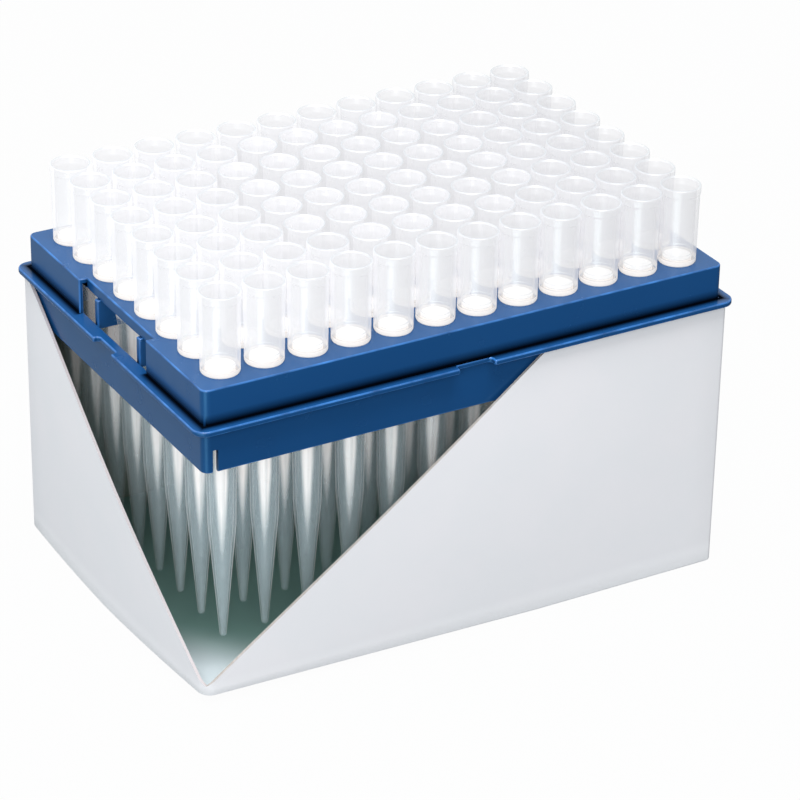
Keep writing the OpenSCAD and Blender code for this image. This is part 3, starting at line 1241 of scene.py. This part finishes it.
@dataclass
class Carton:
    """The card carton, folded from one sheet and cut away at the near left corner."""

    finish: CardFinish = CardFinish()
    node: str = "carton"
    card: float = 0.6 * MM
    fold_r: float = 1.0 * MM
    near_fold_r: float = 2.2 * MM
    fold_steps: int = 5
    fold_angle: float = 1.0
    base_fold: float = 0.4 * MM
    base_steps: int = 3
    seam: float = 0.8 * MM
    floor_steps: tuple[int, int] = (18, 12)
    floor_inset: float = 0.63 * MM
    floor_rise: float = 0.612 * MM
    cut_rise: float = 3.3 * MM
    cut_front: float = 73.3 * MM
    cut_end_margin: float = 1.1 * MM
    bow: float = 0.9 * MM
    base_bow: float = 1.1 * MM
    lift: float = 1.8 * MM
    lift_height: float = 3.2 * MM
    lift_front: float = 74.0 * MM
    lift_end: float = 40.0 * MM
    grid_step: float = 6.0 * MM
    cut_reach: float = 0.0001 * MM
    outer_share: float = 0.999
    low: Vector = field(init=False)
    high: Vector = field(init=False)

    def __post_init__(self) -> None:
        """Reads the carton's box from the frame."""
        self.low, self.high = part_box(self.node)

    def _cut_planes(self) -> list[tuple[Vector, Vector]]:
        """Works out the two planes of the cut.

        Returns:
            A point and the upward normal of each plane.
        """
        rise = self.high.z - self.cut_rise
        end_run = self.high.y - self.low.y - self.cut_end_margin
        corner = Vector((self.low.x, self.low.y, self.cut_rise))
        front = Vector((-rise, 0.0, self.cut_front)).normalized()
        end = Vector((0.0, -rise, end_run)).normalized()
        return [(corner, front), (corner, end)]

    def _slice(self, mesh: bmesh.types.BMesh, point: Vector, normal: Vector) -> None:
        """Cuts new edges into the sheet along a plane, given by a point and its normal."""
        bmesh.ops.bisect_plane(mesh, geom=mesh.verts[:] + mesh.edges[:] + mesh.faces[:],
                               dist=self.cut_reach, plane_co=point, plane_no=normal)

    def _grid_lines(self, mesh: bmesh.types.BMesh) -> None:
        """Divides the flat walls, so that they can bow.

        Args:
            mesh: The folded sheet.
        """
        size = self.high - self.low
        for axis, normal in enumerate(Matrix.Identity(3)):
            count = max(2, round(size[axis] / self.grid_step))
            for line in range(1, count):
                point = self.low.copy()
                point[axis] += size[axis] * line / count
                self._slice(mesh, point, normal)

    def _walls(self) -> bmesh.types.BMesh:
        """Makes the outer face of the folded sheet.

        Returns:
            Its mesh, open at the top.
        """
        mesh = bmesh.new()
        bmesh.ops.create_grid(mesh, x_segments=1, y_segments=1, size=1.0)
        size = Vector(((self.high.x - self.low.x) / 2, (self.high.y - self.low.y) / 2, 1.0))
        bmesh.ops.scale(mesh, vec=size, verts=mesh.verts[:])
        near = [vert for vert in mesh.verts if vert.co.x < 0 and vert.co.y < 0]
        others = [vert for vert in mesh.verts if vert not in near]
        for corners, radius in ((others, self.fold_r), (near, self.near_fold_r)):
            bmesh.ops.bevel(mesh, geom=corners, offset=radius, offset_type="OFFSET",
                            segments=self.fold_steps, profile=0.5, affect="VERTICES", material=-1)
        raised = bmesh.ops.extrude_face_region(mesh, geom=mesh.faces[:])["geom"]
        top = [item for item in raised if isinstance(item, bmesh.types.BMFace)]
        lifted = [item for item in raised if isinstance(item, bmesh.types.BMVert)]
        bmesh.ops.translate(mesh, vec=(0, 0, self.high.z), verts=lifted)
        bmesh.ops.delete(mesh, geom=top, context="FACES_ONLY")
        bmesh.ops.recalc_face_normals(mesh, faces=mesh.faces[:])
        return mesh

    def build(self) -> bpy.types.Object:
        """Builds the carton.

        Returns:
            The piece.
        """
        mesh = self._walls()
        low_edges = [edge for edge in mesh.edges
                     if all(vert.co.z < ON_THE_FLOOR for vert in edge.verts)
                     and len(edge.link_faces) == 2 and edge.calc_face_angle(0) > self.fold_angle]
        bmesh.ops.bevel(mesh, geom=low_edges, offset=self.base_fold, offset_type="OFFSET",
                        segments=self.base_steps, profile=0.5, affect="EDGES", material=-1,
                        clamp_overlap=False)
        self._grid_lines(mesh)
        planes = self._cut_planes()
        for point, normal in planes:
            self._slice(mesh, point, normal)
        away = [face for face in mesh.faces
                if all((face.calc_center_median() - point).dot(normal) > 0 for point, normal in planes)]
        bmesh.ops.delete(mesh, geom=away, context="FACES")
        for vert in mesh.verts:
            vert.co += self._bowed(vert.co)
        self._open_seam(mesh)
        bmesh.ops.recalc_face_normals(mesh, faces=mesh.faces[:])
        self._add_floor(mesh)
        finishes = [self.finish.outside(), self.finish.inside(), self.finish.cut_edge(),
                    self.finish.outside(), self.finish.inner_floor(self.low), self.finish.cut_edge()]
        piece = new_piece("card_carton", mesh, finishes)
        thicken(piece, self.card)
        return settle(piece, Slot.CARD, self.node)

    def _open_seam(self, mesh: bmesh.types.BMesh) -> None:
        """Parts the two outer flaps of the base along the X axis.

        Args:
            mesh: The folded sheet.
        """
        across = Vector((0.0, 1.0, 0.0))
        for side in Side:
            self._slice(mesh, Vector((0.0, side.value * self.seam / 2, 0.0)), across)
        strip = [face for face in mesh.faces
                 if face.calc_center_median().z < ON_THE_FLOOR
                 and abs(face.calc_center_median().y) < self.seam / 2
                 and abs(face.calc_center_median().x) < self.high.x - self.fold_r]
        bmesh.ops.delete(mesh, geom=strip, context="FACES")

    def _add_floor(self, mesh: bmesh.types.BMesh) -> None:
        """Adds the inner flap, which lies on the outer ones and makes the box's floor.

        Args:
            mesh: The folded sheet.
        """
        before = set(mesh.faces)
        x_steps, y_steps = self.floor_steps
        sheet = bmesh.ops.create_grid(mesh, x_segments=x_steps, y_segments=y_steps, size=1.0)["verts"]
        corners = [vert for vert in sheet if len(vert.link_edges) == 2]
        size = Vector((self.high.x - self.floor_inset, self.high.y - self.floor_inset, 1.0))
        bmesh.ops.scale(mesh, vec=size, verts=sheet)
        bmesh.ops.translate(mesh, vec=(0, 0, self.floor_rise), verts=sheet)
        bmesh.ops.bevel(mesh, geom=corners, offset=self.near_fold_r, offset_type="OFFSET",
                        segments=self.fold_steps, profile=0.5, affect="VERTICES", material=-1)
        made = [face for face in mesh.faces if face not in before]
        for vert in {vert for face in made for vert in face.verts}:
            vert.co.z += self._lifted(vert.co)
        bmesh.ops.reverse_faces(mesh, faces=made)
        for face in made:
            face.material_index = 3

    def _lifted(self, point: Vector) -> float:
        """Returns how far the base curls up at a point of it, most at the corner that is cut open."""
        along = (point.x - self.low.x) / self.lift_front + (point.y - self.low.y) / self.lift_end
        return self.lift * max(0.0, 1.0 - along)

    def _bowed(self, point: Vector) -> Vector:
        """Works out how far the loose card stands out of true.

        Args:
            point: A point of its outer face.

        Returns:
            The way that the point has moved.
        """
        middle = (self.low + self.high) / 2
        half = (self.high - self.low) / 2
        share_x, share_y = (point.x - middle.x) / half.x, (point.y - middle.y) / half.y
        height = max(0.0, min(1.0, point.z / self.high.z))
        swell = math.sin(math.pi * height) * self.bow
        out = Vector((0.0, 0.0, 0.0))
        out.z = self._lifted(point) * max(0.0, 1.0 - point.z / self.lift_height)
        if share_x < -self.outer_share:
            out.x = -self.base_bow * (1.0 - height) ** 3 * (1 - share_y ** 2)
        if abs(share_x) > self.outer_share:
            out.x += math.copysign(swell * (1 - share_y ** 2), share_x)
        if abs(share_y) > self.outer_share:
            out.y = math.copysign(swell * (1 - share_x ** 2), share_y)
        return out


# ---------------------------------------------------------------- the studio


@dataclass
class Camera:
    """The camera, which looks down on the near left corner."""

    target: Vector = field(default_factory=lambda: Vector((5.47, -1.80, 32.03)) * MM)
    distance: float = 691.5 * MM
    azimuth: float = -30.185
    elevation: float = 27.852
    roll: float = 0.984
    lens: float = 156.5
    sensor: float = 36.0
    clip: Range = (0.01, 20.0)

    def build(self) -> bpy.types.Object:
        """Builds the camera and makes it the scene's own.

        Returns:
            The camera.
        """
        back = toward(self.azimuth, self.elevation)
        data = bpy.data.cameras.new("camera")
        data.lens, data.sensor_width = self.lens, self.sensor
        data.clip_start, data.clip_end = self.clip
        camera = bpy.data.objects.new("camera", data)
        tilt = Matrix.Rotation(math.radians(self.roll), 3, "Z")
        camera.rotation_mode = "QUATERNION"
        camera.rotation_quaternion = ((-back).to_track_quat("-Z", "Y").to_matrix() @ tilt).to_quaternion()
        camera.location = self.target + back * self.distance
        bpy.context.scene.collection.objects.link(camera)
        bpy.context.scene.camera = camera
        return camera


@dataclass(frozen=True)
class Softbox:
    """One square lamp that faces the middle of the object."""

    name: str
    azimuth: float
    elevation: float
    distance: float
    size: float
    level: float

    def build(self, middle: Vector) -> bpy.types.Object:
        """Makes the lamp.

        Args:
            middle: The point that it faces.

        Returns:
            The lamp, whose power gives its level of light at that point.
        """
        data = bpy.data.lights.new(self.name, "AREA")
        data.shape, data.size = "SQUARE", self.size
        data.energy = self.level * math.pi ** 2 * self.distance ** 2
        back = toward(self.azimuth, self.elevation)
        lamp = bpy.data.objects.new(self.name, data)
        lamp.rotation_mode = "QUATERNION"
        lamp.rotation_quaternion = (-back).to_track_quat("-Z", "Y")
        lamp.location = middle + back * self.distance
        lamp.visible_camera = False
        bpy.context.scene.collection.objects.link(lamp)
        return lamp


@dataclass
class Studio:
    """The floor, the white surroundings and the lamps."""

    finish: StageFinish = StageFinish()
    floor_half: float = 4.0
    fill: float = 0.45
    lamps: tuple[Softbox, ...] = (Softbox("overhead", -20.0, 79.0, 1.2, 0.75, 1.2),
                                  Softbox("key", -35.0, 24.0, 0.8, 0.4, 0.46),
                                  Softbox("left_side", -120.0, 45.0, 0.32, 0.2, 0.3))

    def _floor(self) -> bpy.types.Object:
        """Builds the floor, level with the lowest point of the object.

        Returns:
            The floor.
        """
        mesh = bmesh.new()
        bmesh.ops.create_grid(mesh, x_segments=1, y_segments=1, size=self.floor_half)
        bmesh.ops.translate(mesh, vec=(0, 0, CAD_BOX[0].z), verts=mesh.verts[:])
        floor = new_piece("studio_floor", mesh, [self.finish.floor()])
        return floor

    def _world(self) -> bpy.types.World:
        """Makes the surroundings: white to the eye and in gloss, and a softer fill as light.

        Returns:
            The surroundings.
        """
        air = Shader("studio", surroundings=True)
        path = air.add("LightPath").outputs
        seen = air.math("MAXIMUM", path["Is Camera Ray"], path["Is Glossy Ray"])
        light = {"Color": (1.0, 1.0, 1.0, 1.0), "Strength": air.spread(seen, self.fill, 1.0)}
        bpy.context.scene.world = air.finish(air.layer("Background", light))
        return bpy.context.scene.world

    def build(self) -> None:
        """Builds the floor, the surroundings and the lamps."""
        self._floor()
        self._world()
        middle = (CAD_BOX[0] + CAD_BOX[1]) / 2
        for lamp in self.lamps:
            lamp.build(middle)


def set_light_paths() -> None:
    """Lets light pass through as many clear walls as stand in a row of tips."""
    scene = bpy.context.scene
    scene.view_settings.view_transform = "Standard"
    scene.cycles.max_bounces = 14
    scene.cycles.diffuse_bounces = 12
    scene.cycles.glossy_bounces = 4
    scene.cycles.transmission_bounces = 8
    scene.cycles.transparent_max_bounces = 64
    scene.cycles.min_transparent_bounces = 8


def main() -> None:
    """Builds the camera, the studio and the object's pieces."""
    logging.basicConfig(level=logging.INFO, format="%(name)s: %(message)s")
    set_light_paths()
    Camera().build()
    Studio().build()
    grid = Grid.from_frame()
    LOG.info("%d columns of %d tips, %.1f mm apart", grid.columns, grid.rows, grid.pitch / MM)
    Carton().build()
    Tray(grid).build()
    Filters(grid).build()
    Tips(grid).build()


if __name__ == "__main__":
    main()
